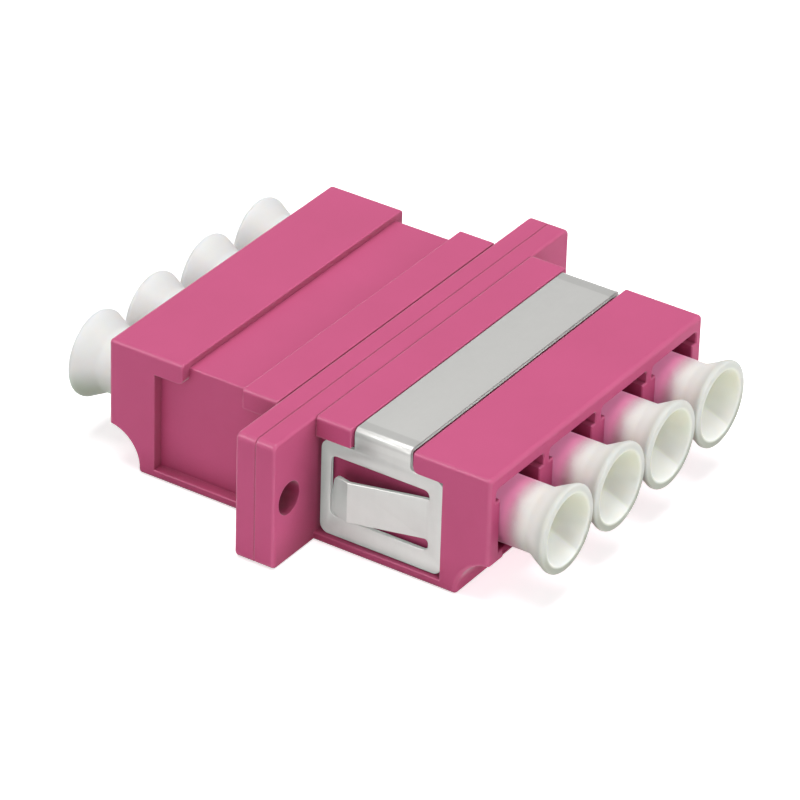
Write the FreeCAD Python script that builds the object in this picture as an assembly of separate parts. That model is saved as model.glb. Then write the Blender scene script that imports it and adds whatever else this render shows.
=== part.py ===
import FreeCAD, Part
import math
import os

# Flanged fibre adapter with four ports on each side, in millimetres.
# X runs across the ports, Y runs along the fibres and Z is up. The origin is under the
# middle of the body, on the seam where the two housing halves are welded. The half that
# carries the panel clip lies towards -Y and is called the front.
# Every piece is first made as it lies in the rear half, with its port towards +Y, and the
# front ones are then turned half a turn about Z.

# Ports
port_count = 4
port_width = 4.6
partition_thickness = 1.65
floor_thickness = 3.15
roof_thickness = 1.0
web_thickness = 1.5
end_block_length = 3.65
mouth_break = 0.08
corner_rib_width = 0.55
corner_rib_height = 0.45

# Room over each port for the plug's latch, and the catch that the latch snaps behind
latch_rise = 0.65
latch_slot_depth = 9.5
catch_opening = 3.4
catch_thickness = 1.0
key_step = 0.5
key_drop = 0.25
key_end_wall = 0.55
key_corner_round = 0.3

# Lead-in that thins the lip under a port's mouth
lead_in_depth = 0.45

# Flange, with one half's share of its thickness
flange_thickness = 1.5
flange_wing = 4.6
flange_set_down = 0.04
flange_corner_round = 0.5
flange_edge_round = 0.2
screw_hole_diameter = 2.35
screw_edge_distance = 1.75
seam_chamfer = 0.08

# Outside of the body
corner_round = 0.3
top_round = 0.3
edge_break = 0.1
overhang_thickness = 1.5
ledge_height = 0.65
pocket_wall = 0.375
saddle_length = 2.72
saddle_edge_round = 0.15
flange_side_corner_round = 0.15
port_side_corner_round = 0.42

# Scoop under each port face
scoop_radius = 2.55
scoop_beyond_face = 0.2
scoop_above_base = 0.36
scoop_lip_round = 0.25
face_lip_round = 0.1

# Split sleeve and the holder around it
sleeve_bore = 1.25
sleeve_wall = 0.185
sleeve_length = 6.5
sleeve_slit = 0.25
sleeve_end_chamfer = 0.05
sleeve_clearance = 0.05
sleeve_end_gap = 0.15
holder_wall = 0.59
holder_lip = 0.6
ferrule_clearance = 0.075
ferrule_lead_in = 0.3

# Panel clip
clip_thickness = 0.3
clip_bend_radius = 0.15
strip_width = 4.28
strip_recess = 0.1
strip_floor_gap = 0.1
strip_flange_gap = 0.05
strip_port_gap = 0.4
plate_length = 9.35
plate_recess = 0.35
plate_back_gap = 0.15
plate_flange_gap = 0.25
plate_port_gap = 0.1
plate_ledge_gap = 0.05
plate_top_gap = 0.2
plate_corner_round = 0.65
flange_side_neck_round = 0.15
port_side_neck_round = 0.35
window_flange_margin = 0.77
window_port_margin = 1.05
window_base_margin = 1.5
window_top_margin = 1.0
window_corner_round = 0.42

# Sprung tab in each window of the clip
tab_lower_slot = 0.87
tab_upper_slot = 0.65
tab_end_gap = 0.39
tab_root_length = 0.3
tab_angle = 11.8
tab_tip_length = 1.7
tab_tip_angle = 16.0
tab_tip_slant = 0.39
tab_droop = 0.25
tab_root_round = 0.28
tab_corner_round = 0.5

# Dust cap
cap_clearance = 0.05
cap_gap = 0.15
cap_insertion = 6.0
cap_neck_length = 1.75
cap_flare_length = 1.65
cap_flare_sag = 0.04
cap_rim_width = 0.3
cap_rim_round = 0.22
cap_lip_width = 0.6
cap_lip_round = 0.12
cap_throat_radius = 1.5
cap_funnel_depth = 2.6
cap_well_radius = 1.3
cap_well_depth = 5.3
cap_web = 0.8
cap_socket_wall = 0.7
cap_tip_chamfer = 0.3

# Sizes that follow from the ones above
half_port = port_width / 2
port_pitch = port_width + partition_thickness
port_axis_height = floor_thickness + half_port
port_top = floor_thickness + port_width
roof_height = port_top + latch_rise
body_height = roof_height + roof_thickness
pocket_depth = plate_back_gap + clip_thickness + plate_recess
body_width = (port_count - 1) * port_pitch + port_width + 2 * (pocket_wall + pocket_depth)
half_width = body_width / 2
pocket_face = half_width - pocket_depth
pocket_end = flange_thickness + plate_flange_gap + plate_length + plate_port_gap
half_length = pocket_end + end_block_length
overhang_height = body_height - overhang_thickness
groove_start = flange_thickness + saddle_length
groove_end = groove_start + strip_flange_gap + strip_width + strip_port_gap
groove_floor = body_height - strip_recess - clip_thickness - strip_floor_gap
flange_half_width = half_width + flange_wing
screw_offset = flange_half_width - screw_edge_distance
key_width = port_width + 2 * key_step
key_start = pocket_end + key_end_wall
sleeve_radius = sleeve_bore / 2 + sleeve_wall
sleeve_seat_radius = sleeve_radius + sleeve_clearance
sleeve_seat_depth = sleeve_length / 2 + sleeve_end_gap
holder_radius = sleeve_seat_radius + holder_wall
holder_reach = sleeve_seat_depth + holder_lip
ferrule_hole_radius = sleeve_bore / 2 + ferrule_clearance
plate_face = half_width - plate_recess
plate_start = flange_thickness + plate_flange_gap
plate_end = plate_start + plate_length
plate_base = ledge_height + plate_ledge_gap
plate_top = overhang_height - plate_top_gap
window_start = plate_start + window_flange_margin
window_end = plate_end - window_port_margin
window_base = plate_base + window_base_margin
window_top = plate_top - window_top_margin

# How far a cutting tool stands out past the surface that it cuts
overshoot = 1.0

# How far apart two coordinates may be and still count as the same place
near = 0.001

across = FreeCAD.Vector(1, 0, 0)
along = FreeCAD.Vector(0, 1, 0)
upward = FreeCAD.Vector(0, 0, 1)
origin = FreeCAD.Vector(0, 0, 0)


def block(x_low, x_high, y_low, y_high, z_low, z_high):
    """A box between two corners."""
    corner = FreeCAD.Vector(x_low, y_low, z_low)
    return Part.makeBox(x_high - x_low, y_high - y_low, z_high - z_low, corner)


def edges_at(solid, x=None, y=None, z=None):
    """The edges that lie wholly at the given coordinates."""
    found = []
    for edge in solid.Edges:
        box = edge.BoundBox
        spans = ((x, box.XMin, box.XMax), (y, box.YMin, box.YMax), (z, box.ZMin, box.ZMax))
        if all(at is None or (abs(low - at) < near and abs(high - at) < near) for at, low, high in spans):
            found.append(edge)
    return found


def edges_within(solid, x_low, x_high, y_low, y_high, z_low, z_high):
    """The edges that lie wholly inside a box."""
    box = FreeCAD.BoundBox(x_low, y_low, z_low, x_high, y_high, z_high)
    box.enlarge(near)
    return [edge for edge in solid.Edges if box.isInside(edge.BoundBox)]


def circles_at(solid, y, radius):
    """The round edges about the Y axis at one place and of one radius."""
    return [edge for edge in edges_at(solid, y=y) if abs(edge.BoundBox.XMax - radius) < near]


def port_positions():
    """Where the port axes stand across the width."""
    middle = (port_count - 1) / 2
    return [(index - middle) * port_pitch for index in range(port_count)]


def turned_to_front(shape):
    """A copy of a rear piece, turned half a turn about the upright axis."""
    turned = shape.copy()
    turned.rotate(origin, upward, 180)
    return turned


def body_block():
    """The half body outside the flange, with its scoop and its rounded outer edges."""
    solid = block(-half_width, half_width, flange_thickness, half_length, 0, body_height)
    scoop_foot = FreeCAD.Vector(-body_width, half_length + scoop_beyond_face, scoop_above_base)
    solid = solid.cut(Part.makeCylinder(scoop_radius, 2 * body_width, scoop_foot, across))
    face_lip = scoop_above_base + math.sqrt(scoop_radius**2 - scoop_beyond_face**2)
    base_lip = half_length + scoop_beyond_face - math.sqrt(scoop_radius**2 - scoop_above_base**2)
    solid = solid.makeFillet(scoop_lip_round, edges_at(solid, y=base_lip, z=0))
    solid = solid.makeFillet(face_lip_round, edges_at(solid, y=half_length, z=face_lip))
    corners = edges_at(solid, x=-half_width, y=half_length) + edges_at(solid, x=half_width, y=half_length)
    solid = solid.makeFillet(corner_round, corners)
    at_flange = flange_thickness + near
    rim = [edge for edge in edges_at(solid, z=body_height) if edge.BoundBox.YMax > at_flange]
    return solid.makeFillet(top_round, rim)


def flange_plate():
    """One half of the flange, with its screw holes."""
    top = body_height - flange_set_down
    solid = block(-flange_half_width, flange_half_width, 0, flange_thickness, 0, top)
    corners = []
    for side in (-1, 1):
        for height in (0, top):
            corners += edges_at(solid, x=side * flange_half_width, z=height)
    solid = solid.makeFillet(flange_corner_round, corners)
    solid = solid.makeFillet(flange_edge_round, edges_at(solid, y=flange_thickness))
    solid = solid.makeChamfer(seam_chamfer, edges_at(solid, y=0))
    reach = flange_thickness + 2 * overshoot
    for side in (-1, 1):
        foot = FreeCAD.Vector(side * screw_offset, -overshoot, body_height / 2)
        solid = solid.cut(Part.makeCylinder(screw_hole_diameter / 2, reach, foot, along))
    return solid


def clip_recess():
    """What the clip's groove and its two side pockets take out of a half."""
    top = body_height + overshoot
    cut = block(-body_width, body_width, groove_start, groove_end, groove_floor, top)
    for side in (-1, 1):
        low, high = sorted((side * pocket_face, side * (half_width + overshoot)))
        neck = block(low, high, groove_start, groove_end, overhang_height, top)
        pocket = block(low, high, flange_thickness, pocket_end, ledge_height, overhang_height)
        recess = neck.fuse(pocket).removeSplitter()
        flange_side = edges_at(recess, y=groove_start, z=overhang_height)
        recess = recess.makeFillet(flange_side_corner_round, flange_side)
        port_side = edges_at(recess, y=groove_end, z=overhang_height)
        recess = recess.makeFillet(port_side_corner_round, port_side)
        cut = cut.fuse(recess)
    return cut.removeSplitter()


def soften_recess(solid):
    """Round the outer edges of the groove and the pockets a little."""
    sharp = edges_at(solid, y=groove_start, z=body_height) + edges_at(solid, y=groove_end, z=body_height)
    for side in (-1, 1):
        flank = side * half_width
        recess = (flank, flank, flange_thickness, pocket_end, ledge_height, body_height)
        sharp += edges_within(solid, *recess)
    solid = solid.makeFillet(edge_break, sharp)
    saddle = edges_at(solid, x=-pocket_face, z=groove_floor) + edges_at(solid, x=pocket_face, z=groove_floor)
    return solid.makeFillet(saddle_edge_round, saddle)


def port_cavity():
    """The hollow of one port, from its mouth to the web, around the sleeve holder."""
    mouth = half_length + overshoot
    rib_top = floor_thickness + corner_rib_height
    channel = half_port - corner_rib_width
    hollow = block(-half_port, half_port, web_thickness, mouth, rib_top, port_top)
    slot_start = half_length - latch_slot_depth
    catch_start = key_start - catch_thickness
    half_key = key_width / 2
    half_catch = catch_opening / 2
    key = block(-half_key, half_key, key_start, mouth, port_top - key_drop, roof_height)
    roof_corners = edges_at(key, x=-half_key, z=roof_height) + edges_at(key, x=half_key, z=roof_height)
    key = key.makeFillet(key_corner_round, roof_corners)
    hollow = hollow.fuse([
        block(-channel, channel, web_thickness, mouth, floor_thickness, rib_top),
        block(-half_port, half_port, slot_start, catch_start, port_top - key_drop, roof_height),
        block(-half_catch, half_catch, catch_start, key_start, port_top - key_drop, roof_height),
        key,
    ])
    holder = Part.makeCylinder(holder_radius, holder_reach, FreeCAD.Vector(0, 0, port_axis_height), along)
    return hollow.removeSplitter().cut(holder)


def sleeve_seat():
    """The bore that holds half of a sleeve, and the tapered hole that leads a ferrule into it."""
    foot = FreeCAD.Vector(0, -overshoot, port_axis_height)
    seat = Part.makeCylinder(sleeve_seat_radius, sleeve_seat_depth + overshoot, foot, along)
    throat = FreeCAD.Vector(0, sleeve_seat_depth, port_axis_height)
    wide = ferrule_hole_radius + ferrule_lead_in
    lead_in = Part.makeCone(ferrule_hole_radius, wide, holder_lip, throat, along)
    mouth = FreeCAD.Vector(0, holder_reach, port_axis_height)
    clearing = Part.makeCylinder(wide, overshoot, mouth, along)
    return seat.fuse([lead_in, clearing])


def floor_lead_in():
    """The slope at a port's mouth, between its corner ribs, that thins the lip under it."""
    channel = half_port - corner_rib_width
    corners = [
        FreeCAD.Vector(-channel, half_length - lead_in_depth, floor_thickness),
        FreeCAD.Vector(-channel, half_length + overshoot, floor_thickness),
        FreeCAD.Vector(-channel, half_length + overshoot, floor_thickness - lead_in_depth - overshoot),
    ]
    side = Part.Face(Part.makePolygon(corners + corners[:1]))
    return side.extrude(across * 2 * channel)


def break_mouths(solid):
    """A small chamfer round every port's mouth, above the floor."""
    half_key = key_width / 2
    mouths = []
    for axis_x in port_positions():
        left = axis_x - half_key
        right = axis_x + half_key
        mouths += edges_within(solid, left, right, half_length, half_length, floor_thickness, roof_height)
    return solid.makeChamfer(mouth_break, mouths)


def housing_half():
    """One of the two equal housing mouldings, as it lies in the rear half."""
    solid = body_block().cut(clip_recess())
    solid = soften_recess(solid)
    solid = solid.fuse(flange_plate())
    for axis_x in port_positions():
        hollow = port_cavity().fuse(sleeve_seat())
        hollow.translate(across * axis_x)
        solid = solid.cut(hollow)
    solid = break_mouths(solid)
    for axis_x in port_positions():
        slope = floor_lead_in()
        slope.translate(across * axis_x)
        solid = solid.cut(slope)
    return solid


def split_sleeve():
    """A thin tube with one slit along it, lying half in each housing."""
    half_sleeve = sleeve_length / 2
    foot = FreeCAD.Vector(0, -half_sleeve, 0)
    tube = Part.makeCylinder(sleeve_radius, sleeve_length, foot, along)
    tube = tube.cut(Part.makeCylinder(sleeve_bore / 2, sleeve_length, foot, along))
    ends = edges_at(tube, y=-half_sleeve) + edges_at(tube, y=half_sleeve)
    tube = tube.makeChamfer(sleeve_end_chamfer, ends)
    half_slit = sleeve_slit / 2
    tube = tube.cut(block(-half_slit, half_slit, -sleeve_length, sleeve_length, 0, 2 * sleeve_radius))
    tube.translate(FreeCAD.Vector(0, 0, port_axis_height))
    return tube


def folded_strip():
    """The clip's bridge and its two side plates, before the windows."""
    top = groove_floor + strip_floor_gap + clip_thickness
    bend = clip_bend_radius + clip_thickness
    outer = block(-plate_face, plate_face, plate_start, plate_end, plate_base, top)
    bends = edges_at(outer, x=-plate_face, z=top) + edges_at(outer, x=plate_face, z=top)
    outer = outer.makeFillet(bend, bends)
    back = plate_face - clip_thickness
    under = top - clip_thickness
    inner = block(-back, back, plate_start - overshoot, plate_end + overshoot, plate_base - overshoot, under)
    bends = edges_at(inner, x=-back, z=under) + edges_at(inner, x=back, z=under)
    sheet = outer.cut(inner.makeFillet(clip_bend_radius, bends))
    strip_start = groove_start + strip_flange_gap
    strip_end = strip_start + strip_width
    above = top + overshoot
    sheet = sheet.cut(block(-body_width, body_width, plate_start - overshoot, strip_start, plate_top, above))
    sheet = sheet.cut(block(-body_width, body_width, strip_end, plate_end + overshoot, plate_top, above))
    corners = []
    for y in (plate_start, plate_end):
        for z in (plate_base, plate_top):
            corners += edges_at(sheet, y=y, z=z)
    sheet = sheet.makeFillet(plate_corner_round, corners)
    sheet = sheet.makeFillet(flange_side_neck_round, edges_at(sheet, y=strip_start, z=plate_top))
    return sheet.makeFillet(port_side_neck_round, edges_at(sheet, y=strip_end, z=plate_top))


def tab_window():
    """The window that leaves room for the tab, as one tool through both plates."""
    window = block(-body_width, body_width, window_start, window_end, window_base, window_top)
    corners = []
    for y in (window_start, window_end):
        for z in (window_base, window_top):
            corners += edges_at(window, y=y, z=z)
    return window.makeFillet(window_corner_round, corners)


def tab_sheet(low, high):
    """The tab on the +X plate seen from above: sprung outwards, with its tip bent back in."""
    root = window_end - tab_root_length
    outward = math.radians(tab_angle)
    inward = math.radians(tab_tip_angle)
    back = plate_face - clip_thickness
    bend_y = window_start + tab_end_gap + tab_tip_length * math.cos(inward)
    bend_x = back + (root - bend_y) * math.tan(outward)
    past_end = tab_tip_length + overshoot
    tip_x = bend_x - past_end * math.sin(inward)
    tip_y = bend_y - past_end * math.cos(inward)
    outer_tip_x = tip_x + clip_thickness * math.cos(inward)
    outer_tip_y = tip_y - clip_thickness * math.sin(inward)
    half_fold = (outward + inward) / 2
    lean = outward - half_fold
    mitre = clip_thickness / math.cos(half_fold)
    root_shift = clip_thickness * math.tan(outward / 2)
    outline = [
        FreeCAD.Vector(back, window_end + clip_thickness, low),
        FreeCAD.Vector(back, root, low),
        FreeCAD.Vector(bend_x, bend_y, low),
        FreeCAD.Vector(tip_x, tip_y, low),
        FreeCAD.Vector(outer_tip_x, outer_tip_y, low),
        FreeCAD.Vector(bend_x + mitre * math.cos(lean), bend_y + mitre * math.sin(lean), low),
        FreeCAD.Vector(plate_face, root + root_shift, low),
        FreeCAD.Vector(plate_face, window_end + clip_thickness, low),
    ]
    face = Part.Face(Part.makePolygon(outline + outline[:1]))
    return face.extrude(upward * (high - low))


def tab_blank():
    """The tab's outline seen from the side, drooping to its slanted, rounded tip."""
    free_end = window_start + tab_end_gap
    bend = window_end - tab_root_length
    root = window_end + clip_thickness
    base = window_base + tab_lower_slot
    top = window_top - tab_upper_slot
    corners = [
        FreeCAD.Vector(0, root, base),
        FreeCAD.Vector(0, bend, base),
        FreeCAD.Vector(0, free_end, base - tab_droop),
        FreeCAD.Vector(0, free_end + tab_tip_slant, top - tab_droop),
        FreeCAD.Vector(0, bend, top),
        FreeCAD.Vector(0, root, top),
    ]
    blank = Part.Face(Part.makePolygon(corners + corners[:1])).extrude(across * body_width)
    tip = edges_at(blank, y=free_end, z=base - tab_droop)
    tip += edges_at(blank, y=free_end + tab_tip_slant, z=top - tab_droop)
    return blank.makeFillet(tab_corner_round, tip)


def panel_clip():
    """The whole clip, as it would lie in the rear half."""
    clip = folded_strip().cut(tab_window())
    tab = tab_sheet(window_base, window_top).common(tab_blank())
    clip = clip.fuse([tab, tab.mirror(origin, across)]).removeSplitter()
    slot_ends = edges_at(clip, y=window_end, z=window_base + tab_lower_slot)
    return clip.makeFillet(tab_root_round, slot_ends)


def dust_cap():
    """A cap on the Y axis: a plug for the port with a trumpet flare to pull it by."""
    stem = half_port - cap_clearance
    rim = (port_pitch - cap_gap) / 2
    mouth = rim - cap_lip_width
    socket = stem - cap_socket_wall
    tip = half_length - cap_insertion
    neck = half_length + cap_neck_length
    rim_start = neck + cap_flare_length
    face = rim_start + cap_rim_width
    funnel_end = face - cap_funnel_depth
    well_floor = face - cap_well_depth
    socket_end = well_floor - cap_web
    stem_end = FreeCAD.Vector(stem, neck, 0)
    rim_edge = FreeCAD.Vector(rim, rim_start, 0)
    chord = rim_edge - stem_end
    sag = FreeCAD.Vector(-chord.y, chord.x, 0).normalize() * cap_flare_sag
    middle = stem_end + chord * 0.5 - sag
    corners = [
        rim_edge,
        FreeCAD.Vector(rim, face, 0),
        FreeCAD.Vector(mouth, face, 0),
        FreeCAD.Vector(cap_throat_radius, funnel_end, 0),
        FreeCAD.Vector(cap_well_radius, well_floor, 0),
        FreeCAD.Vector(0, well_floor, 0),
        FreeCAD.Vector(0, socket_end, 0),
        FreeCAD.Vector(socket, socket_end, 0),
        FreeCAD.Vector(socket, tip, 0),
        FreeCAD.Vector(stem, tip, 0),
        stem_end,
    ]
    outline = Part.makePolygon(corners).Edges + [Part.Arc(stem_end, middle, rim_edge).toShape()]
    cap = Part.Face(Part.Wire(outline)).revolve(origin, along, 360)
    cap = cap.makeChamfer(cap_tip_chamfer, circles_at(cap, tip, stem))
    cap = cap.makeFillet(cap_rim_round, circles_at(cap, face, rim))
    cap = cap.makeFillet(cap_lip_round, circles_at(cap, face, mouth))
    cap.translate(FreeCAD.Vector(0, 0, port_axis_height))
    return cap


def all_pieces():
    """Every piece by its node name."""
    half = housing_half()
    pieces = {"rear_housing": half, "front_housing": turned_to_front(half)}
    pieces["panel_clip"] = turned_to_front(panel_clip())
    sleeve = split_sleeve()
    rear_cap = dust_cap()
    front_cap = turned_to_front(rear_cap)
    for number, axis_x in enumerate(port_positions(), start=1):
        repeated = {"split_sleeve": sleeve, "front_cap": front_cap, "rear_cap": rear_cap}
        for name, shape in repeated.items():
            placed = shape.copy()
            placed.translate(across * axis_x)
            pieces[f"{name}_{number}"] = placed
    return pieces


os.makedirs("parts", exist_ok=True)
for node, shape in all_pieces().items():
    shape.exportStep(f"parts/{node}.step")
    print(node, len(shape.Solids), shape.isValid(), round(shape.Volume, 3), len(shape.Faces))
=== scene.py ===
# %% [markdown]
# # A fibre adapter with four ports on each side
#
# The real object sits in a panel and lets thin fibre plugs meet end to end. It is two equal
# plastic mouldings welded at a flange, one folded steel clip, four ceramic sleeves hidden
# inside, and eight soft dust caps. Its construction is already there as solids of the true
# size. This script loads them, models again the pieces that look better as meshes, and gives
# every piece the finish that the real one has.

# %% Load the solids
import math
import bmesh
import bpy
from mathutils import Matrix, Vector


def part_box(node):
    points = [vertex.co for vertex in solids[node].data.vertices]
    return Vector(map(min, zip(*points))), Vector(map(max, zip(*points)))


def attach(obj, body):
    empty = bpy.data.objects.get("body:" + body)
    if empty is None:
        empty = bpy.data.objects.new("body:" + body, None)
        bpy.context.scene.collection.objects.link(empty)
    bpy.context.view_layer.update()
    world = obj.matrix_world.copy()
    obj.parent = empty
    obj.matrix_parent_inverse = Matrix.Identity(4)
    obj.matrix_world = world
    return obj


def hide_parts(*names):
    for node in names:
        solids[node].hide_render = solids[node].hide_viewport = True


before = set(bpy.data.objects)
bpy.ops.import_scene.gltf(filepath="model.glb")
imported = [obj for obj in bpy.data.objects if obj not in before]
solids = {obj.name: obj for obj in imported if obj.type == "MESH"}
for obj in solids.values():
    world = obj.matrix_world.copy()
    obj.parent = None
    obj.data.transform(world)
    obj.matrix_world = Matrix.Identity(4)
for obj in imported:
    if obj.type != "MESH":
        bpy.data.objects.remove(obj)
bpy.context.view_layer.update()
MM = 0.001


# %% [markdown]
# ## The camera
#
# The picture was taken with a long lens from above one corner, so parallel edges hardly
# converge. A camera could be aimed with a constraint, but a rotation matrix built from the
# three directions right, up and back says exactly how it stands, the slight roll included.

# %% Aim the camera
CAMERA_AZIMUTH = math.radians(-57.18)
CAMERA_ELEVATION = math.radians(31.32)
CAMERA_ROLL = math.radians(1.77)
CAMERA_STAND = Vector((-0.27, 3.21, 367.74)) * MM
LENS_LENGTH = 249.1
SENSOR_WIDTH = 36.0


def make_camera():
    """A long-lens camera, placed by its own right, up and back directions."""
    level = math.cos(CAMERA_ELEVATION)
    right = Vector((math.cos(CAMERA_AZIMUTH), math.sin(CAMERA_AZIMUTH), 0))
    back = Vector((right.y * level, -right.x * level, math.sin(CAMERA_ELEVATION)))
    level_axes = Matrix((right, back.cross(right), back)).transposed()
    turned = level_axes @ Matrix.Rotation(CAMERA_ROLL, 3, "Z")
    data = bpy.data.cameras.new("camera")
    data.lens = LENS_LENGTH
    data.sensor_width = SENSOR_WIDTH
    data.clip_start = 10 * MM
    camera = bpy.data.objects.new("camera", data)
    camera.matrix_world = Matrix.Translation(turned @ CAMERA_STAND) @ turned.to_4x4()
    bpy.context.scene.collection.objects.link(camera)
    bpy.context.scene.camera = camera
    return camera


camera = make_camera()
print("the camera stands at", [round(v / MM, 1) for v in camera.location], "mm")

# %% [markdown]
# ## Small helpers for node trees
#
# A node tree written out by hand repeats the same three lines for each node: make it, set it,
# link it. One helper does all three, and takes either a plain value or another node's output
# for each socket. A few more wrap it for sums, ranges and mixed colours, and one starts a node
# group with named inputs and outputs.

# %% Node helpers
def place(tree, kind, sockets=None, **settings):
    """Add a node, apply its settings, and fill its sockets with values or links."""
    node = tree.nodes.new(kind)
    for name, value in settings.items():
        setattr(node, name, value)
    for name, value in (sockets or {}).items():
        if isinstance(value, bpy.types.NodeSocket):
            tree.links.new(value, node.inputs[name])
        else:
            node.inputs[name].default_value = value
    return node


def sums(tree, operation, first, second=0.0, third=0.0, clamp=False):
    """The output of a Math node."""
    sockets = {0: first, 1: second, 2: third}
    return place(tree, "ShaderNodeMath", sockets, operation=operation, use_clamp=clamp).outputs[0]


def ranged(tree, value, low, high, to_low=0.0, to_high=1.0):
    """A value moved from one range to another, and held inside it."""
    sockets = {"Value": value, "From Min": low, "From Max": high,
               "To Min": to_low, "To Max": to_high}
    return place(tree, "ShaderNodeMapRange", sockets).outputs["Result"]


def eased(tree, value, low, high):
    """A value that rises softly from 0 at one end of a range to 1 at the other."""
    sockets = {"Value": value, "From Min": low, "From Max": high}
    node = place(tree, "ShaderNodeMapRange", sockets, interpolation_type="SMOOTHSTEP")
    return node.outputs["Result"]


def blended(tree, share, first, second):
    """The output of a Mix node for colours."""
    node = place(tree, "ShaderNodeMix", {0: share}, data_type="RGBA")
    for socket, value in ((node.inputs[6], first), (node.inputs[7], second)):
        if isinstance(value, bpy.types.NodeSocket):
            tree.links.new(value, socket)
        else:
            socket.default_value = (*value, 1)
    return node.outputs[2]


# %% Node groups
def new_group(name, inputs, outputs):
    """A node group with named inputs and outputs; returns its tree, its entry and its exit."""
    tree = bpy.data.node_groups.new(name, "ShaderNodeTree")
    for title, kind, value in inputs:
        socket = tree.interface.new_socket(title, in_out="INPUT", socket_type=kind)
        if value is not None:
            socket.default_value = value
    for title, kind in outputs:
        tree.interface.new_socket(title, in_out="OUTPUT", socket_type=kind)
    return tree, tree.nodes.new("NodeGroupInput"), tree.nodes.new("NodeGroupOutput")


def effect(tree, group, sockets):
    """Place a node group in a material, with values of its own."""
    return place(tree, "ShaderNodeGroup", sockets, node_tree=group).outputs


# %% [markdown]
# ## Effects that several finishes share
#
# Moulded plastic, rolled steel and soft caps all have a fine grain and a slow, cloudy change
# of tone. An image could hold both, but noise needs no file and never repeats. The grain
# drives a tiny bump, and the clouds change colour and roughness by a few percent.

# %% Grain and clouds
CLOUDS_FROM, CLOUDS_TO = 0.3, 0.7


def build_grain():
    """Fine grain and slow clouds on object coordinates."""
    inputs = [("Vector", "NodeSocketVector", None), ("Grain Scale", "NodeSocketFloat", 9000.0),
              ("Cloud Scale", "NodeSocketFloat", 180.0), ("Cloud Detail", "NodeSocketFloat", 3.0)]
    outputs = [("Height", "NodeSocketFloat"), ("Clouds", "NodeSocketFloat")]
    tree, entry, leave = new_group("grain_and_clouds", inputs, outputs)
    vector = entry.outputs["Vector"]
    grain = place(tree, "ShaderNodeTexNoise", {
        "Vector": vector, "Scale": entry.outputs["Grain Scale"], "Detail": 2.0, "Roughness": 0.6})
    clouds = place(tree, "ShaderNodeTexNoise", {
        "Vector": vector, "Scale": entry.outputs["Cloud Scale"],
        "Detail": entry.outputs["Cloud Detail"], "Roughness": 0.55})
    tree.links.new(grain.outputs[0], leave.inputs["Height"])
    tree.links.new(ranged(tree, clouds.outputs[0], CLOUDS_FROM, CLOUDS_TO), leave.inputs["Clouds"])
    return tree


grain_group = build_grain()
print("group", grain_group.name, "has", len(grain_group.nodes), "nodes")

# %% [markdown]
# Every moulded or sheared edge is a little round, and it catches the light as a thin pale
# line. The Bevel node looks at the surface around each point and returns the normal that a
# rounded edge would have. Where that normal leans away from the flat face's own, an edge is
# near, so the same node gives both the soft normal and a mask along the edges, which the
# housing uses for a painted highlight. An inner corner leans too, so an Ambient Occlusion node
# tells it from an outer edge by the room in front of it, and the housing paints shade where
# that room is small.

# %% Soft edges
EDGE_ROOM = 5.0
ROOM_CLOSED, ROOM_OPEN = 0.35, 0.8


def build_edges():
    """The normal of slightly rounded edges, a mask along them, and one for open places."""
    inputs = [("Radius", "NodeSocketFloat", 0.06 * MM), ("Lean", "NodeSocketFloat", 0.12)]
    outputs = [("Normal", "NodeSocketVector"), ("Edge", "NodeSocketFloat"),
               ("Open", "NodeSocketFloat")]
    tree, entry, leave = new_group("soft_edges", inputs, outputs)
    rounded = place(tree, "ShaderNodeBevel", {"Radius": entry.outputs["Radius"]}, samples=6)
    flat = place(tree, "ShaderNodeNewGeometry").outputs["Normal"]
    normals = {0: rounded.outputs[0], 1: flat}
    facing = place(tree, "ShaderNodeVectorMath", normals, operation="DOT_PRODUCT")
    lean = sums(tree, "SUBTRACT", 1.0, facing.outputs["Value"])
    edge = place(tree, "ShaderNodeMapRange", {"Value": lean, "From Max": entry.outputs["Lean"]})
    reach = sums(tree, "MULTIPLY", entry.outputs["Radius"], EDGE_ROOM)
    room = place(tree, "ShaderNodeAmbientOcclusion", {"Distance": reach}, samples=6)
    tree.links.new(rounded.outputs[0], leave.inputs["Normal"])
    tree.links.new(edge.outputs["Result"], leave.inputs["Edge"])
    tree.links.new(ranged(tree, room.outputs["AO"], ROOM_CLOSED, ROOM_OPEN), leave.inputs["Open"])
    return tree


edge_group = build_edges()
print("group", edge_group.name, "has", len(edge_group.nodes), "nodes")

# %% [markdown]
# ## The housing's plastic
#
# The two halves are moulded in a dyed engineering plastic with a satin skin. The tone is
# even, with faint clouds where the melt slowed down. The paler lines along the edges are a
# painted highlight. Light that bounces about in an inner corner comes out deeper, so an Ambient
# Occlusion node mixes a painted shade into inner corners, and a wider one paints deeper shade
# into recesses. The larger rounded edges get a thin coat, which carries a small glint. In the
# product picture the steel mirrors the plastic as a pale grey, so reflections alone, which
# Light Path's Is Glossy Ray picks out, see it in that tone with a faint glow: a painted
# reflection.

# %% Housing tones
PLASTIC = (0.62, 0.100, 0.242)
PLASTIC_DEEP = (0.59, 0.090, 0.224)
# Painted highlight along the outer edges.
PLASTIC_EDGE_HIGHLIGHT = (0.72, 0.20, 0.36)
# Painted shade in inner corners.
PLASTIC_CREVICE_SHADE = (0.36, 0.035, 0.11)
# Painted shade in recesses and sheltered corners.
PLASTIC_RECESS_SHADE = (0.25, 0.018, 0.06)
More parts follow.
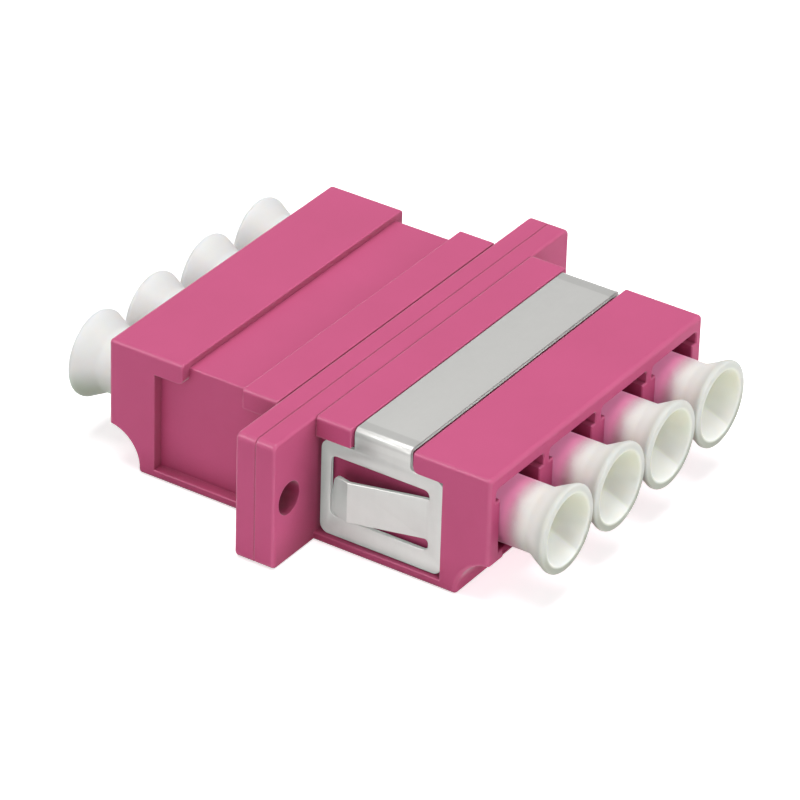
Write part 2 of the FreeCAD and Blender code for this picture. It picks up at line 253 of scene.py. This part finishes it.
# A painted reflection: reflections alone see the plastic in this pale grey, with this faint glow.
PLASTIC_MIRRORED = (0.90, 0.96, 0.95)
MIRRORED_GLOW = (0.162, 0.173, 0.171)
EDGE_HIGHLIGHT_SHARE = 0.5
CREVICE_SHARE = 0.9
SHELTER_REACH = 4 * MM
SHELTER_ROOM = (0.9, 0.35)
SHELTER_SHARE = 0.78
SHELTER_PAST_PORTS = (13.5 * MM, 10 * MM)
SHELTER_PAST_ENDS = (17.4 * MM, 16.9 * MM)
ROUNDED_FACING = (0.985, 0.93)
COAT_SHARE = 0.5
print("housing colour", PLASTIC, "and", PLASTIC_RECESS_SHADE, "in sheltered corners")


# %% Start a material and fill its shader
def new_material(name):
    """A material with a Principled shader; returns the material, its tree and the shader."""
    material = bpy.data.materials.new(name)
    material.use_nodes = True
    tree = material.node_tree
    return material, tree, tree.nodes["Principled BSDF"]


def fill(tree, shader, sockets):
    """Fill a shader's sockets with values or links."""
    for name, value in sockets.items():
        if isinstance(value, bpy.types.NodeSocket):
            tree.links.new(value, shader.inputs[name])
        else:
            shader.inputs[name].default_value = value


# %% Masks for sheltered corners and rounded edges
def sheltered(tree, where):
    """1 in inner corners and recesses, where shade is painted; 0 on open faces, by the ports and on
    the flange's ends.
    """
    room = place(tree, "ShaderNodeAmbientOcclusion", {"Distance": SHELTER_REACH}, samples=8)
    parts = place(tree, "ShaderNodeSeparateXYZ", {0: where}).outputs
    past_ports = ranged(tree, sums(tree, "ABSOLUTE", parts["Y"]), *SHELTER_PAST_PORTS)
    past_ends = ranged(tree, sums(tree, "ABSOLUTE", parts["X"]), *SHELTER_PAST_ENDS)
    inner = sums(tree, "MULTIPLY", past_ports, past_ends)
    depth = ranged(tree, room.outputs["AO"], *SHELTER_ROOM, to_high=SHELTER_SHARE)
    return sums(tree, "MULTIPLY", inner, depth)


def rounded_off(tree):
    """Half coated on rounded edges, where the surface faces none of the three main directions."""
    facing = place(tree, "ShaderNodeTexCoord").outputs["Normal"]
    facing = place(tree, "ShaderNodeVectorMath", {0: facing}, operation="ABSOLUTE").outputs[0]
    parts = place(tree, "ShaderNodeSeparateXYZ", {0: facing}).outputs
    most = sums(tree, "MAXIMUM", sums(tree, "MAXIMUM", parts["X"], parts["Y"]), parts["Z"])
    return ranged(tree, most, *ROUNDED_FACING, to_high=COAT_SHARE)


# %% Housing plastic
def housing_plastic():
    """Dyed satin plastic with clouds, grain, glossier edges, painted edge highlights and painted
    shade in corners.
    """
    material, tree, shader = new_material("moulded_plastic")
    where = place(tree, "ShaderNodeTexCoord").outputs["Object"]
    skin = effect(tree, grain_group, {"Vector": where, "Grain Scale": 7000.0, "Cloud Scale": 160.0})
    edges = effect(tree, edge_group, {"Radius": 0.08 * MM})
    body = blended(tree, skin["Clouds"], PLASTIC_DEEP, PLASTIC)
    # Painted shade in recesses and sheltered corners.
    body = blended(tree, sheltered(tree, where), body, PLASTIC_RECESS_SHADE)
    # A painted highlight along the outer edges.
    edge_highlight = sums(tree, "MULTIPLY", sums(tree, "MULTIPLY", edges["Edge"], edges["Open"]), EDGE_HIGHLIGHT_SHARE)
    # Painted shade in inner corners, where the room in front is small.
    crevice_shade = ranged(tree, edges["Open"], 1.0, 0.0, to_high=CREVICE_SHARE)
    shaded = blended(tree, edge_highlight, blended(tree, crevice_shade, body, PLASTIC_CREVICE_SHADE), PLASTIC_EDGE_HIGHLIGHT)
    # A painted reflection: reflections alone see a pale grey with a faint glow.
    mirrored = place(tree, "ShaderNodeLightPath").outputs["Is Glossy Ray"]
    bump = place(tree, "ShaderNodeBump", {
        "Strength": 0.12, "Distance": 0.02 * MM,
        "Height": skin["Height"], "Normal": edges["Normal"]})
    fill(tree, shader, {
        "Base Color": blended(tree, mirrored, shaded, PLASTIC_MIRRORED),
        "Emission Color": blended(tree, mirrored, (0, 0, 0), MIRRORED_GLOW),
        "Emission Strength": 1.0,
        "Coat Weight": rounded_off(tree),
        "Coat Roughness": 0.15,
        "Roughness": ranged(tree, skin["Clouds"], 0.0, 1.0, 0.46, 0.54),
        "Specular IOR Level": 0.25,
        "Normal": bump.outputs[0],
    })
    return material


plastic = housing_plastic()
for name in ("front_housing", "rear_housing"):
    solids[name].data.materials.clear()
    solids[name].data.materials.append(plastic)
print("plastic on both housings")

# %% [markdown]
# ## The panel clip
#
# The clip is one strip of spring steel, punched and folded, with a satin skin. Its solid has
# knife-sharp edges, which no punched strip has. A merged copy of the solid's mesh, with its
# flat triangles dissolved into whole faces, takes a fine Bevel modifier, so the sheared edges
# are real geometry that catches the light.

# %% Round the clip's sheared edges
SHEARED_EDGE = 0.045 * MM
MERGE_DISTANCE = 0.0005 * MM
FLAT_ANGLE = math.radians(0.5)
EDGE_ANGLE = math.radians(23)


def merged_copy(node, name):
    """A copy of a solid's mesh with its triangles merged into whole flat faces."""
    shape = bmesh.new()
    shape.from_mesh(solids[node].data)
    bmesh.ops.remove_doubles(shape, verts=shape.verts[:], dist=MERGE_DISTANCE)
    bmesh.ops.dissolve_limit(shape, angle_limit=FLAT_ANGLE,
                             verts=shape.verts[:], edges=shape.edges[:])
    mesh = bpy.data.meshes.new(name)
    shape.to_mesh(mesh)
    shape.free()
    piece = bpy.data.objects.new(name, mesh)
    bpy.context.scene.collection.objects.link(piece)
    return piece


def soften(piece, width, segments):
    """Give a piece fine rounded edges, and smooth shading that keeps its flats flat."""
    piece.data.shade_smooth()
    bevel = piece.modifiers.new("edges", "BEVEL")
    bevel.width = width
    bevel.segments = segments
    bevel.limit_method = "ANGLE"
    bevel.angle_limit = EDGE_ANGLE
    bevel.miter_outer = "MITER_ARC"
    bevel.harden_normals = True
    return piece


clip = soften(merged_copy("panel_clip", "clip"), SHEARED_EDGE, 2)
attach(clip, "adapter")
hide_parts("panel_clip")
print("clip has", len(clip.data.polygons), "faces before its bevel")

# %% [markdown]
# The steel's grain follows the strip round its bends. Object coordinates alone would turn the
# grain at each bend, so the length along the strip is worked out as distance from the middle
# minus height, which unrolls the folded strip into a flat one. A colour ramp along that length
# paints the light and shade of the bends, a bright highlight band beside darker bands, and the
# brightest part is less metallic, so that the painted highlight looks white whatever stands in
# front of it.

# %% Steel tones, and the painted light and shade of the bend by the place along the strip in mm
STEEL_SHADE = (0.02, 0.02, 0.02)
STEEL_WHITE = (1.0, 0.995, 0.965)
STREAK_SHARE = 0.25
# The brightest part of the painted bend highlight, and how metallic it is there.
BEND_HIGHLIGHT_RANGE = (0.58, 0.70)
BEND_HIGHLIGHT_METALLIC = 0.35
BEND_LIGHT_AND_SHADE = [(1.95, 0.55), (2.10, 0.47), (2.80, 0.47), (2.90, 0.70), (3.29, 0.70), (3.39, 0.50),
              (3.70, 0.50), (3.84, 0.57), (4.12, 0.57), (4.30, 0.53), (4.90, 0.53), (5.40, 0.55)]


# %% Unroll the strip
def unrolled(tree, where):
    """The place on the flat strip: across it and along it."""
    parts = place(tree, "ShaderNodeSeparateXYZ", {0: where}).outputs
    along = sums(tree, "SUBTRACT", sums(tree, "ABSOLUTE", parts["X"]), parts["Z"])
    return place(tree, "ShaderNodeCombineXYZ", {"X": parts["Y"], "Y": along}).outputs[0]


def painted_bend_light(tree, along):
    """How bright the steel is painted along the strip: even, with painted highlight and shade bands
    where it is folded.
    """
    first, last = BEND_LIGHT_AND_SHADE[0][0] * MM, BEND_LIGHT_AND_SHADE[-1][0] * MM
    ramp = place(tree, "ShaderNodeValToRGB", {0: ranged(tree, along, first, last)})
    stops = ramp.color_ramp.elements
    while len(stops) < len(BEND_LIGHT_AND_SHADE):
        stops.new(0.5)
    for stop, (at, tone) in zip(stops, BEND_LIGHT_AND_SHADE):
        stop.position = (at * MM - first) / (last - first)
        stop.color = (tone, tone, tone, 1)
    return ramp.outputs["Color"]


# %% Clip steel
def clip_steel():
    """Satin rolled steel with faint mottling, streaks along the strip and painted light and shade
    on the bends.
    """
    material, tree, shader = new_material("satin_steel")
    where = place(tree, "ShaderNodeTexCoord").outputs["Object"]
    strip = unrolled(tree, where)
    along = place(tree, "ShaderNodeSeparateXYZ", {0: strip}).outputs["Y"]
    drawn = place(tree, "ShaderNodeMapping", {
        "Vector": strip, "Scale": (1.0, 0.06, 1.0)}).outputs[0]
    skin = effect(tree, grain_group, {
        "Vector": strip, "Grain Scale": 5200.0, "Cloud Scale": 700.0})
    streaks = effect(tree, grain_group, {
        "Vector": drawn, "Grain Scale": 12000.0, "Cloud Scale": 2600.0})
    cloudy = sums(tree, "MULTIPLY", skin["Clouds"], 1 - STREAK_SHARE)
    mottle = sums(tree, "MULTIPLY_ADD", streaks["Clouds"], STREAK_SHARE, cloudy)
    # Painted highlight and shade bands across each bend.
    bend = painted_bend_light(tree, along)
    tone = sums(tree, "MULTIPLY", bend, ranged(tree, mottle, 0.0, 1.0, 0.95, 1.0))
    height = sums(tree, "MULTIPLY_ADD", streaks["Height"], 0.5, skin["Height"])
    bump = place(tree, "ShaderNodeBump", {"Strength": 0.1, "Distance": 0.01 * MM, "Height": height})
    fill(tree, shader, {
        "Base Color": blended(tree, tone, STEEL_SHADE, STEEL_WHITE),
        "Metallic": ranged(tree, bend, *BEND_HIGHLIGHT_RANGE, 1.0, BEND_HIGHLIGHT_METALLIC),
        "Roughness": ranged(tree, mottle, 0.0, 1.0, 0.42, 0.36),
        "Normal": bump.outputs[0],
    })
    return material


clip.data.materials.append(clip_steel())
print("steel on the clip")

# %% [markdown]
# ## The dust caps
#
# Each cap is a soft translucent moulding turned about its own axis: a stem that plugs the
# port, a trumpet flare to pull it by, and a funnel inside. The solid has this form with only
# a few corners rounded, and a soft moulding has no sharp ones, so the cap is made again. Half
# of its section, drawn with a dozen corners, is enough. Each corner is rounded by a vertex
# bevel, and a full spin makes the body, which keeps the outline easy to read and to change.

# %% Sizes of a cap, behind its face and out from its axis
CAP_STEM = 2.25 * MM
CAP_RIM_WIDTH = 0.3 * MM
CAP_BEND_RADIUS = 2.62 * MM
CAP_BEND_BACK = 1.11 * MM
CAP_NECK_BACK = 1.8 * MM
CAP_LIP_WIDTH = 0.6 * MM
CAP_THROAT = 1.5 * MM
CAP_FUNNEL_DEPTH = 2.6 * MM
CAP_WELL = 1.3 * MM
CAP_WELL_DEPTH = 5.3 * MM
CAP_WEB = 0.8 * MM
CAP_SOCKET = 1.55 * MM
print("a cap's stem is", round(2 * CAP_STEM / MM, 2), "mm across")

# %% Turn a cap from half of its section
SPIN_STEPS = 96
ROUND_SEGMENTS = 5


def cap_corners(rim, length):
    """Corners of half the section: out from the axis, behind the face, and their rounding."""
    socket_end = CAP_WELL_DEPTH + CAP_WEB
    return [
        (0, CAP_WELL_DEPTH, 0),
        (CAP_WELL, CAP_WELL_DEPTH, 0.25 * MM),
        (CAP_THROAT, CAP_FUNNEL_DEPTH, 0.4 * MM),
        (rim - CAP_LIP_WIDTH, 0, 0.1 * MM),
        (rim, 0, 0.14 * MM),
        (rim, CAP_RIM_WIDTH, 0.06 * MM),
        (CAP_BEND_RADIUS, CAP_BEND_BACK, 0.5 * MM),
        (CAP_STEM, CAP_NECK_BACK, 0.12 * MM),
        (CAP_STEM, length, 0.3 * MM),
        (CAP_SOCKET, length, 0.15 * MM),
        (CAP_SOCKET, socket_end, 0.2 * MM),
        (0, socket_end, 0),
    ]


def spun_cap(name, node):
    """A cap turned about its axis, its face and rim taken from the solid's box."""
    low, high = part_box(node)
    centre = (low + high) / 2
    outward = 1 if centre.y > 0 else -1
    face = max(abs(low.y), abs(high.y))
    corners = cap_corners((high.x - low.x) / 2, high.y - low.y)
    shape = bmesh.new()
    verts = [shape.verts.new((centre.x + out, outward * (face - back), centre.z))
             for out, back, _ in corners]
    for first, second in zip(verts, verts[1:]):
        shape.edges.new((first, second))
    for vert, (_, _, rounding) in zip(verts, corners):
        if rounding:
            bmesh.ops.bevel(shape, geom=[vert], offset=rounding, segments=ROUND_SEGMENTS,
                            profile=0.5, affect="VERTICES", material=-1, clamp_overlap=True)
    bmesh.ops.spin(shape, geom=shape.verts[:] + shape.edges[:], cent=centre, axis=(0, 1, 0),
                   angle=math.tau, steps=SPIN_STEPS, use_merge=True)
    bmesh.ops.remove_doubles(shape, verts=shape.verts[:], dist=MERGE_DISTANCE)
    bmesh.ops.recalc_face_normals(shape, faces=shape.faces[:])
    mesh = bpy.data.meshes.new(name)
    shape.to_mesh(mesh)
    shape.free()
    mesh.shade_smooth()
    cap = bpy.data.objects.new(name, mesh)
    bpy.context.scene.collection.objects.link(cap)
    cap.modifiers.new("flats", "WEIGHTED_NORMAL").weight = 70
    return cap


# %% [markdown]
# The plastic of a cap lets light in and spreads it, which subsurface scattering gives. Close to
# a port the real stem also carries the colour of the plastic around it, more than scattering
# alone shows. A painted pink light on the outside of the stem puts it there, but only where an
# Ambient Occlusion node finds the port's walls close by, so that a cap that is pulled out is
# white again. By the port it has a painted glow too, as light that has passed through does. The
# rim of a front cap is painted a touch darker than its flare and the undersides greyer, as
# painted shade. A funnel has a warm painted shade under its roof, a painted lighter floor, and a
# painted pool of light on that floor, where light falls in. The front and rear caps are lit and
# shaded copies of one plastic, the rear ones painted lighter.

# %% Cap tones
# The front and rear caps are lit and shaded copies of one plastic: the rear caps are painted
# lighter.
CAP_MILK = {"front": (0.86, 0.87, 0.835), "rear": (0.90, 0.93, 0.905)}
# Painted shade: darker front rims and greyer undersides.
CAP_RIM_SHADE = {"front": (0.69, 0.71, 0.67), "rear": (0.90, 0.93, 0.905)}
CAP_UNDERSIDE_SHADE = {"front": (0.44, 0.465, 0.40), "rear": (0.44, 0.51, 0.41)}
# Painted shade under a funnel's roof, a painted lighter floor, and a painted pool of light on it.
HOLLOW_ROOF_SHADE = (0.84, 0.86, 0.74)
HOLLOW_FLOOR_LIGHT = (0.91, 0.93, 0.875)
HOLLOW_LIGHT_POOL = (0.17, 0.175, 0.17)
# Painted pink light on a stem by its port, and a painted glow there.
CAP_PAINTED_PINK = (0.48, 0.11, 0.23)
PAINTED_PORT_GLOW = (0.36, 0.12, 0.21)
BLUSH_FULL = {"front": -0.1 * MM, "rear": -0.9 * MM}
BLUSH_REACH = {"front": 2.1 * MM, "rear": 0.9 * MM}
BLUSH_RADIUS = 2.0 * MM
BLUSH_SENSE = 1.9 * MM
CAP_SPREAD = 0.7 * MM
CLOUD_SHADE = 0.96
print("caps:", {side: [round(channel, 3) for channel in milk] for side, milk in CAP_MILK.items()})

# %% Where on a cap each painted tone lies
WALLED_ROOM = (0.99, 0.88)
BLUSH_INNER = (-2.2 * MM, -1.2 * MM)
GLOW_SIDE = (-1.0 * MM, 1.5 * MM)
GLOW_REACH = (1.1 * MM, 0.1 * MM)
RIM_BACK = (1.1 * MM, 0.3 * MM)
UNDERSIDE_HEIGHT = (0.6 * MM, -1.8 * MM)
HOLLOW_RADIUS = 2.55 * MM
HOLLOW_TAPER = 0.3
HOLLOW_EDGE = 0.1 * MM
FLOOR_BACK = (3.0 * MM, 1.3 * MM)
FLOOR_HEIGHT = (1.4 * MM, -1.8 * MM)
FLOOR_SIDE = (1.25 * MM, 1.0 * MM)
PORT_FACE = max(abs(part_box("rear_housing")[0].y), abs(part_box("rear_housing")[1].y))
PORT_PITCH = abs(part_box("front_cap_2")[0].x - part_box("front_cap_1")[0].x)
CAP_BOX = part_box("rear_cap_1")
CAP_FACE = max(abs(CAP_BOX[0].y), abs(CAP_BOX[1].y))
AXIS_HEIGHT = (CAP_BOX[0].z + CAP_BOX[1].z) / 2
print("in mm, port face", round(PORT_FACE / MM, 2), "cap face", round(CAP_FACE / MM, 2),
      "axis height", round(AXIS_HEIGHT / MM, 2), "pitch", round(PORT_PITCH / MM, 2))


# %% Painted pink light by the port, and painted light and shade in the funnel
def cap_place(tree, where):
    """A point's distance from its cap's axis, right of it, above it, and from the middle plane."""
    parts = place(tree, "ShaderNodeSeparateXYZ", {0: where}).outputs
    from_wall = sums(tree, "FLOORED_MODULO", parts["X"], PORT_PITCH)
    sideways = sums(tree, "SUBTRACT", from_wall, PORT_PITCH / 2)
    upward = sums(tree, "SUBTRACT", parts["Z"], AXIS_HEIGHT)
    square = sums(tree, "MULTIPLY_ADD", sideways, sideways, sums(tree, "MULTIPLY", upward, upward))
    return sums(tree, "SQRT", square), sideways, upward, sums(tree, "ABSOLUTE", parts["Y"])


def painted_port_light(tree, spot, side):
    """Painted pink light, 1 on a stem by its port and 0 further out, and a painted glow close to
    the port.
    """
    radius, _, upward, along = spot
    room = place(tree, "ShaderNodeAmbientOcclusion", {"Distance": BLUSH_SENSE}, samples=8)
    enclosed = ranged(tree, room.outputs["AO"], *WALLED_ROOM)
    outside = sums(tree, "MULTIPLY", sums(tree, "GREATER_THAN", radius, BLUSH_RADIUS), enclosed)
    outer = eased(tree, along, PORT_FACE + BLUSH_REACH[side], PORT_FACE + BLUSH_FULL[side])
    inner = eased(tree, along, PORT_FACE + BLUSH_INNER[0], PORT_FACE + BLUSH_INNER[1])
    near = sums(tree, "MULTIPLY", sums(tree, "MULTIPLY", outer, inner), outside)
    upper = ranged(tree, upward, *GLOW_SIDE)
    by_port = eased(tree, along, PORT_FACE + GLOW_REACH[0], PORT_FACE + GLOW_REACH[1])
    return near, sums(tree, "MULTIPLY", near, sums(tree, "MULTIPLY", upper, by_port))


def cap_hollow(tree, spot):
    """1 inside a cap's funnel, 1 where that is low and shallow and painted lighter, and 1 on the
    patch where a pool of light is painted.
    """
    radius, sideways, upward, along = spot
    behind = sums(tree, "SUBTRACT", CAP_FACE, along)
    middle = sums(tree, "MULTIPLY_ADD", behind, -HOLLOW_TAPER, HOLLOW_RADIUS)
    inward = sums(tree, "SUBTRACT", middle, radius)
    hollow = ranged(tree, inward, -HOLLOW_EDGE, HOLLOW_EDGE)
    shallow = eased(tree, behind, *FLOOR_BACK)
    clear = sums(tree, "MULTIPLY", eased(tree, upward, *FLOOR_HEIGHT), shallow)
    reached = sums(tree, "MULTIPLY", clear, ranged(tree, sideways, *FLOOR_SIDE))
    return hollow, clear, sums(tree, "MULTIPLY", hollow, reached)


# %% Cap plastic
def cap_plastic(side):
    """Soft, milky plastic that light passes through for a few millimetres, with painted light and
    shade.
    """
    material, tree, shader = new_material(f"milky_plastic_{side}")
    where = place(tree, "ShaderNodeTexCoord").outputs["Object"]
    spot = cap_place(tree, where)
    _, _, upward, along = spot
    skin = effect(tree, grain_group, {"Vector": where, "Grain Scale": 3000.0, "Cloud Scale": 350.0})
    bump = place(tree, "ShaderNodeBump", {
        "Strength": 0.08, "Distance": 0.02 * MM, "Height": skin["Height"]})
    hollow, clear, reached = cap_hollow(tree, spot)
    # Painted pink light on a stem by its port, and a painted glow there.
    blush, glow = painted_port_light(tree, spot, side)
    shade = tuple(CLOUD_SHADE * channel for channel in CAP_MILK[side])
    # Painted shade: darker front rims and greyer undersides.
    by_rim = eased(tree, along, CAP_FACE - RIM_BACK[0], CAP_FACE - RIM_BACK[1])
    below = eased(tree, upward, *UNDERSIDE_HEIGHT)
    milk = blended(tree, skin["Clouds"], shade, CAP_MILK[side])
    milk = blended(tree, by_rim, milk, CAP_RIM_SHADE[side])
    milk = blended(tree, below, milk, CAP_UNDERSIDE_SHADE[side])
    # Painted light and shade in the funnel, and a painted pool of light that only the camera sees.
    milk = blended(tree, hollow, milk, blended(tree, clear, HOLLOW_ROOF_SHADE, HOLLOW_FLOOR_LIGHT))
    light_pool = blended(tree, reached, (0, 0, 0), HOLLOW_LIGHT_POOL)
    painted_glow = blended(tree, glow, light_pool, PAINTED_PORT_GLOW)
    seen = place(tree, "ShaderNodeLightPath").outputs["Is Camera Ray"]
    fill(tree, shader, {
        "Base Color": blended(tree, blush, milk, CAP_PAINTED_PINK),
        "Emission Color": blended(tree, seen, (0, 0, 0), painted_glow),
        "Emission Strength": 1.0,
        "Roughness": ranged(tree, skin["Clouds"], 0.0, 1.0, 0.42, 0.5),
        "Specular IOR Level": 0.35,
        "Subsurface Weight": 1.0,
        "Subsurface Radius": (1.0, 0.9, 0.8),
        "Subsurface Scale": CAP_SPREAD,
        "Normal": bump.outputs[0],
    })
    return material


# %% Put on the caps
PORTS = range(1, 5)
for side in CAP_MILK:
    milky = cap_plastic(side)
    for port in PORTS:
        node = f"{side}_cap_{port}"
        cap = spun_cap(f"{side}_dust_cap_{port}", node)
        cap.data.materials.append(milky)
        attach(cap, node)
        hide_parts(node)
print("a cap has", len(cap.data.polygons), "faces")

# %% [markdown]
# ## The sleeves
#
# The alignment sleeves are ground ceramic tubes deep inside the ports. They hardly show, but
# with a cap pulled out their ends can be seen, so they get a hard, white, polished finish.

# %% Sleeve ceramic
CERAMIC = (0.86, 0.85, 0.81)
CERAMIC_WARM = (0.80, 0.78, 0.72)


def sleeve_ceramic():
    """Ground and polished white ceramic."""
    material, tree, shader = new_material("white_ceramic")
    where = place(tree, "ShaderNodeTexCoord").outputs["Object"]
    skin = effect(tree, grain_group, {"Vector": where, "Grain Scale": 9000.0, "Cloud Scale": 500.0})
    fill(tree, shader, {
        "Base Color": blended(tree, skin["Clouds"], CERAMIC_WARM, CERAMIC),
        "Roughness": ranged(tree, skin["Height"], 0.3, 0.7, 0.12, 0.2),
    })
    return material


ceramic = sleeve_ceramic()
for port in PORTS:
    sleeve = solids[f"split_sleeve_{port}"]
    sleeve.data.materials.clear()
    sleeve.data.materials.append(ceramic)
print("ceramic on the sleeves")

# %% [markdown]
# ## Floor, backdrop and light
#
# A product picture on white needs an even, bright surround and soft light. The floor is a
# plain pale disc. For the camera, and in reflections, it glows a little more than it is lit,
# so the ground looks white while the object's soft shadow stays on it. A further lift, for the
# camera alone, keeps that shadow faint.

# %% Floor
FLOOR_RADIUS = 3.0
FLOOR_DROP = 0.02 * MM
FLOOR_COLOUR = (0.86, 0.86, 0.86)
FLOOR_GLOW = 0.3
SHADOW_LIFT = 0.38


def seen_directly(tree):
    """1 for rays from the camera, in reflections and through glass, 0 for light on the object."""
    path = place(tree, "ShaderNodeLightPath").outputs
    seen = sums(tree, "ADD", path["Is Camera Ray"], path["Is Glossy Ray"], clamp=True)
    return sums(tree, "ADD", seen, path["Is Transmission Ray"], clamp=True)


def make_floor():
    """A wide pale disc just under the object."""
    shape = bmesh.new()
    bmesh.ops.create_circle(shape, cap_ends=True, segments=96, radius=FLOOR_RADIUS)
    bmesh.ops.translate(shape, verts=shape.verts[:], vec=(0, 0, -FLOOR_DROP))
    mesh = bpy.data.meshes.new("floor")
    shape.to_mesh(mesh)
    shape.free()
    material, tree, shader = new_material("pale_floor")
    camera_ray = place(tree, "ShaderNodeLightPath").outputs["Is Camera Ray"]
    lift = sums(tree, "MULTIPLY", camera_ray, SHADOW_LIFT)
    glow = sums(tree, "MULTIPLY_ADD", seen_directly(tree), FLOOR_GLOW, lift)
    fill(tree, shader, {
        "Base Color": (*FLOOR_COLOUR, 1), "Roughness": 0.9, "Specular IOR Level": 0.0,
        "Emission Color": (1, 1, 1, 1), "Emission Strength": glow})
    mesh.materials.append(material)
    floor = bpy.data.objects.new("floor", mesh)
    bpy.context.scene.collection.objects.link(floor)


make_floor()

# %% [markdown]
# The sky lights every side evenly. Where it is seen, it is white at the horizon and a little
# darker overhead, like a white wall under a plain ceiling, so the top of the steel reads as
# grey. Three large soft lamps, from above, from the front and from the side, give the faces
# their different tones. A smaller one shows in reflections only, and puts the thin bright
# lines on the steel's bend and on the rounded edges.

# %% Sky and lamps
SKY_LIGHT = 0.19
SKY_OVERHEAD = 0.93
OVERHEAD_FROM = 0.15
OVERHEAD_TO = 0.6
LAMP_SIZE = 260 * MM
LAMP_DISTANCE = 420 * MM
LAMPS = {
    "top_lamp": ((0.0, 0.0, 1.0), 1.32),
    "front_lamp": ((0.1, -0.98, 0.1), 0.88),
    "side_lamp": ((-0.97, -0.1, 0.2), 0.38),
}
GLINT_DIRECTION = (-0.60, 0.47, 0.65)
GLINT_POWER = 0.4
GLINT_SIZE = 150 * MM


def make_sky():
    """A white surround: full strength where it is seen low down, gentler where it lights."""
    world = bpy.data.worlds.new("sky")
    world.use_nodes = True
    tree = world.node_tree
    direction = place(tree, "ShaderNodeTexCoord").outputs["Generated"]
    height = place(tree, "ShaderNodeSeparateXYZ", {0: direction}).outputs["Z"]
    seen = ranged(tree, height, OVERHEAD_FROM, OVERHEAD_TO, 1.0, SKY_OVERHEAD)
    strength = place(tree, "ShaderNodeMix", {
        "Factor": seen_directly(tree), "A": SKY_LIGHT, "B": seen}).outputs[0]
    fill(tree, tree.nodes["Background"], {"Color": (1, 1, 1, 1), "Strength": strength})
    bpy.context.scene.world = world


def make_lamp(name, direction, power, size):
    """A square soft lamp that faces the object from a direction."""
    data = bpy.data.lights.new(name, "AREA")
    data.energy = power
    data.size = size
    lamp = bpy.data.objects.new(name, data)
    lamp.location = Vector(direction).normalized() * LAMP_DISTANCE
    lamp.rotation_euler = lamp.location.to_track_quat("Z", "Y").to_euler()
    bpy.context.scene.collection.objects.link(lamp)
    return lamp


make_sky()
for name, (direction, power) in LAMPS.items():
    make_lamp(name, direction, power, LAMP_SIZE)
glint = make_lamp("glint_lamp", GLINT_DIRECTION, GLINT_POWER, GLINT_SIZE)
glint.visible_diffuse = False
bpy.context.scene.view_settings.view_transform = "Standard"
print("lamps:", [*LAMPS, glint.name])
